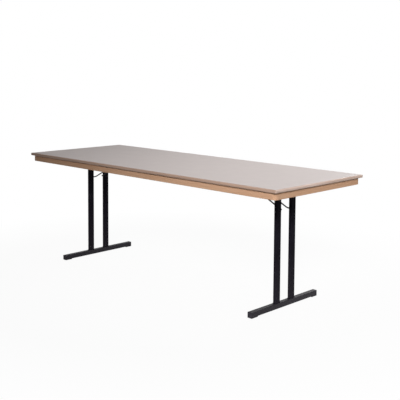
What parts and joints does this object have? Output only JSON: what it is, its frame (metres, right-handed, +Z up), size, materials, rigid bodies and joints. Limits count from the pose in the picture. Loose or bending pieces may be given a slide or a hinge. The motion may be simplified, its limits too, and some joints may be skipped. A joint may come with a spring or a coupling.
{
  "type": "banquet table",
  "caption": "Folding banquet table: long laminated top with rounded wood edging on a set-back beech apron, on two black T-foot legs with paired columns and wire bows.",
  "frame": {"origin": "on the floor, under the middle of the top", "axes": "+X along the length of the top, -Y the front side, +Z up"},
  "size_m": [2.2, 0.8, 0.74],
  "materials": {
    "laminate": "pale warm grey laminate, fine satin texture",
    "backing": "plain backing laminate, matt",
    "core_board": "raw particle board",
    "edging": "rose-beige wood, satin lacquer",
    "beech": "beech, satin lacquer",
    "black_steel": "black powder coat, fine texture",
    "black_wire": "black powder coat on round wire",
    "black_plastic": "moulded black plastic",
    "bright_steel": "bright steel",
    "zinc_sheet": "zinc-plated sheet steel",
    "zinc_screw": "zinc-plated steel",
    "nylon": "natural nylon"
  },
  "bodies": {
    "top": {"core_board": "core_board", "top_laminate": "laminate", "backing_laminate": "backing", "front_edging": "edging", "back_edging": "edging", "left_edging": "edging", "right_edging": "edging", "front_apron": "beech", "back_apron": "beech", "left_apron": "beech", "right_apron": "beech", "apron_screws": "zinc_screw", "corner_blocks": "beech", "corner_block_screws": "zinc_screw", "left_hinge_bracket": "black_steel", "left_stop_bar": "black_steel", "left_bracket_screws": "zinc_screw", "left_hinge_rod": "bright_steel", "left_rod_cap": "bright_steel", "left_hinge_washers": "nylon", "left_catch_rail": "zinc_sheet", "left_catch_rail_screws": "zinc_screw", "right_hinge_bracket": "black_steel", "right_stop_bar": "black_steel", "right_bracket_screws": "zinc_screw", "right_hinge_rod": "bright_steel", "right_rod_cap": "bright_steel", "right_hinge_washers": "nylon", "right_catch_rail": "zinc_sheet", "right_catch_rail_screws": "zinc_screw"},
    "left_leg": {"left_front_column": "black_steel", "left_back_column": "black_steel", "left_cross_tube": "black_steel", "left_foot_tube": "black_steel", "left_front_foot_cap": "black_plastic", "left_back_foot_cap": "black_plastic"},
    "left_bow": {"left_bow": "black_wire"},
    "right_leg": {"right_front_column": "black_steel", "right_back_column": "black_steel", "right_cross_tube": "black_steel", "right_foot_tube": "black_steel", "right_front_foot_cap": "black_plastic", "right_back_foot_cap": "black_plastic"},
    "right_bow": {"right_bow": "black_wire"}
  },
  "joints": [
    {"name": "left_leg_fold", "type": "hinge", "parent": "top", "child": "left_leg", "pos_m": [-0.85, 0, 0.702], "axis": [0, -1, 0], "range_deg": [0, 90]},
    {"name": "left_bow_swing", "type": "hinge", "parent": "left_leg", "child": "left_bow", "pos_m": [-0.85, 0, 0.559], "axis": [0, 1, 0], "range_deg": [0, 116.1]},
    {"name": "right_leg_fold", "type": "hinge", "parent": "top", "child": "right_leg", "pos_m": [0.85, 0, 0.702], "axis": [0, 1, 0], "range_deg": [0, 90]},
    {"name": "right_bow_swing", "type": "hinge", "parent": "right_leg", "child": "right_bow", "pos_m": [0.85, 0, 0.559], "axis": [0, -1, 0], "range_deg": [0, 116.1]}
  ],
  "couplings": [
    {"joint": "left_bow_swing", "follows": "left_leg_fold", "ratio": 1.29},
    {"joint": "right_bow_swing", "follows": "right_leg_fold", "ratio": 1.29}
  ]
}
